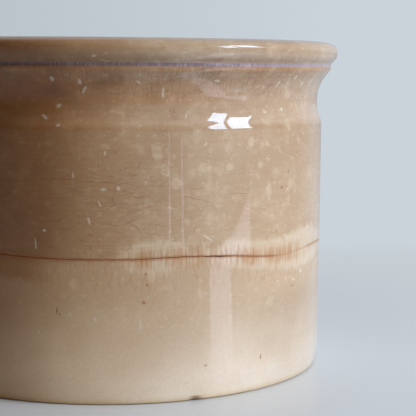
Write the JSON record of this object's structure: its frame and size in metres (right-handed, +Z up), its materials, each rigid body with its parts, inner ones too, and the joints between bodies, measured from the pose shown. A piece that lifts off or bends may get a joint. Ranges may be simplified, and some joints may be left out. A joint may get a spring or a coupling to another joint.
{
  "type": "jam pot",
  "caption": "Open straight-sided pot of glazed white earthenware with a rolled rim over a tie-down waist, for jam or preserves.",
  "frame": {"origin": "centre of the foot ring's plane, on the pot's axis", "axes": "+Z up along the pot's axis of revolution; the side that faces -Y is the one with the worn front"},
  "size_m": [0.1034, 0.1034, 0.0753],
  "materials": {
    "glazed_earthenware": "old clear glaze, crazed all over and stained tan, paler towards the foot"
  },
  "bodies": {
    "root": {"pot": "glazed_earthenware"}
  },
  "joints": []
}
